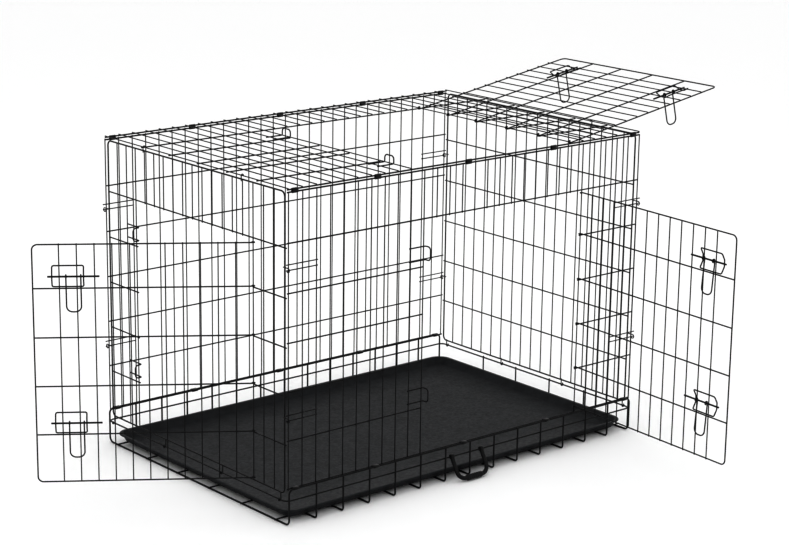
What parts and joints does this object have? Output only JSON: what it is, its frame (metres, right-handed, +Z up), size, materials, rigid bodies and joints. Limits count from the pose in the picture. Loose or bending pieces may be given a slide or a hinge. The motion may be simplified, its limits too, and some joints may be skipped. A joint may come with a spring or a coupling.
{
  "type": "wire dog crate",
  "caption": "Folding wire crate that houses a dog, with hinged side, end and top doors, slide-bolt latches, a carry handle and a slide-out plastic floor tray.",
  "frame": {"origin": "centre of the crate body, on the surface that its floor wires stand on", "axes": "+X along the long sides from the end door to the plain end, +Y from the side door to the plain long side, +Z up"},
  "size_m": [1.7426, 1.2343, 0.8413],
  "materials": {
    "coated_wire": "satin black coating",
    "crimped_steel": "satin black coating",
    "tray_plastic": "fine grained, matte",
    "handle_plastic": "satin"
  },
  "bodies": {
    "crate": {"back_bottom_hinge_clips": "crimped_steel", "back_panel": "coated_wire", "back_slot_wires": "coated_wire", "back_top_hinge_clips": "crimped_steel", "end_door_keepers": "coated_wire", "floor_cross_wires": "coated_wire", "floor_length_wires": "coated_wire", "floor_perimeter_wire": "coated_wire", "front_bottom_hinge_clips": "crimped_steel", "front_panel": "coated_wire", "front_slot_wires": "coated_wire", "front_top_hinge_clips": "crimped_steel", "left_end_corner_hooks": "coated_wire", "left_end_frame": "coated_wire", "left_end_hinge_loops": "coated_wire", "left_end_mesh": "coated_wire", "left_end_top_hooks": "coated_wire", "right_end_corner_hooks": "coated_wire", "right_end_frame": "coated_wire", "right_end_hinge_loops": "coated_wire", "right_end_mesh": "coated_wire", "right_end_top_hooks": "coated_wire", "rim_rail": "coated_wire", "side_door_keepers": "coated_wire", "top_door_keepers": "coated_wire", "top_panel": "coated_wire"},
    "tray": {"tray": "tray_plastic"},
    "carry_handle": {"carry_handle": "handle_plastic"},
    "side_door": {"side_door_frame": "coated_wire", "side_door_rows": "coated_wire", "side_door_bars": "coated_wire", "side_door_latch_guides": "coated_wire"},
    "side_door_lower_bolt": {"side_door_lower_bolt": "coated_wire"},
    "side_door_lower_grip": {"side_door_lower_grip": "coated_wire"},
    "side_door_upper_bolt": {"side_door_upper_bolt": "coated_wire"},
    "side_door_upper_grip": {"side_door_upper_grip": "coated_wire"},
    "end_door": {"end_door_frame": "coated_wire", "end_door_rows": "coated_wire", "end_door_bars": "coated_wire", "end_door_latch_guides": "coated_wire"},
    "end_door_lower_bolt": {"end_door_lower_bolt": "coated_wire"},
    "end_door_lower_grip": {"end_door_lower_grip": "coated_wire"},
    "end_door_upper_bolt": {"end_door_upper_bolt": "coated_wire"},
    "end_door_upper_grip": {"end_door_upper_grip": "coated_wire"},
    "top_door": {"top_door_frame": "coated_wire", "top_door_rows": "coated_wire", "top_door_bars": "coated_wire", "top_door_latch_guides": "coated_wire"},
    "top_door_front_bolt": {"top_door_front_bolt": "coated_wire"},
    "top_door_front_grip": {"top_door_front_grip": "coated_wire"},
    "top_door_back_bolt": {"top_door_back_bolt": "coated_wire"},
    "top_door_back_grip": {"top_door_back_grip": "coated_wire"}
  },
  "joints": [
    {"name": "tray_slide", "type": "slide", "parent": "crate", "child": "tray", "axis": [-1, 0, 0], "range_m": [0, 0.6]},
    {"name": "carry_handle_swing", "type": "hinge", "parent": "crate", "child": "carry_handle", "pos_m": [-0.008, -0.35555, 0.0575], "axis": [-1, 0, 0], "range_deg": [0, 120]},
    {"name": "side_door_hinge", "type": "hinge", "parent": "crate", "child": "side_door", "pos_m": [0.3429, -0.3556, 0.39431], "axis": [0, 0, 1], "range_deg": [-86.3, 81.7]},
    {"name": "side_door_lower_bolt_slide", "type": "slide", "parent": "side_door", "child": "side_door_lower_bolt", "axis": [-0.0645, -0.9979, 0], "range_m": [0, 0.026]},
    {"name": "side_door_lower_grip_swing", "type": "hinge", "parent": "side_door_lower_bolt", "child": "side_door_lower_grip", "pos_m": [0.32287, -0.78155, 0.22762], "axis": [-0.0645, -0.9979, 0], "range_deg": [0, 150]},
    {"name": "side_door_upper_bolt_slide", "type": "slide", "parent": "side_door", "child": "side_door_upper_bolt", "axis": [-0.0645, -0.9979, 0], "range_m": [0, 0.026]},
    {"name": "side_door_upper_grip_swing", "type": "hinge", "parent": "side_door_upper_bolt", "child": "side_door_upper_grip", "pos_m": [0.32287, -0.78155, 0.561], "axis": [-0.0645, -0.9979, 0], "range_deg": [0, 150]},
    {"name": "end_door_hinge", "type": "hinge", "parent": "crate", "child": "end_door", "pos_m": [-0.5329, -0.2286, 0.38156], "axis": [0, 0, 1], "range_deg": [-55.4, 112.6]},
    {"name": "end_door_lower_bolt_slide", "type": "slide", "parent": "end_door", "child": "end_door_lower_bolt", "axis": [-0.8231, 0.5678, 0], "range_m": [0, 0.026]},
    {"name": "end_door_lower_grip_swing", "type": "hinge", "parent": "end_door_lower_bolt", "child": "end_door_lower_grip", "pos_m": [-0.85674, -0.01431, 0.21488], "axis": [-0.8231, 0.5678, 0], "range_deg": [0, 150]},
    {"name": "end_door_upper_bolt_slide", "type": "slide", "parent": "end_door", "child": "end_door_upper_bolt", "axis": [-0.8231, 0.5678, 0], "range_m": [0, 0.026]},
    {"name": "end_door_upper_grip_swing", "type": "hinge", "parent": "end_door_upper_bolt", "child": "end_door_upper_grip", "pos_m": [-0.85674, -0.01431, 0.54825], "axis": [-0.8231, 0.5678, 0], "range_deg": [0, 150]},
    {"name": "top_door_hinge", "type": "hinge", "parent": "crate", "child": "top_door", "pos_m": [0.3048, -0.07781, 0.76045], "axis": [0, 1, 0], "range_deg": [-170.79, 0]},
    {"name": "top_door_front_bolt_slide", "type": "slide", "parent": "top_door", "child": "top_door_front_bolt", "axis": [0.9871, 0, 0.1601], "range_m": [0, 0.026]},
    {"name": "top_door_front_grip_swing", "type": "hinge", "parent": "top_door_front_bolt", "child": "top_door_front_grip", "pos_m": [0.72685, -0.268, 0.82131], "axis": [0.9871, 0, 0.1601], "range_deg": [-80, 60]},
    {"name": "top_door_back_bolt_slide", "type": "slide", "parent": "top_door", "child": "top_door_back_bolt", "axis": [0.9871, 0, 0.1601], "range_m": [0, 0.026]},
    {"name": "top_door_back_grip_swing", "type": "hinge", "parent": "top_door_back_bolt", "child": "top_door_back_grip", "pos_m": [0.72685, 0.11238, 0.82131], "axis": [0.9871, 0, 0.1601], "range_deg": [-80, 60]}
  ]
}
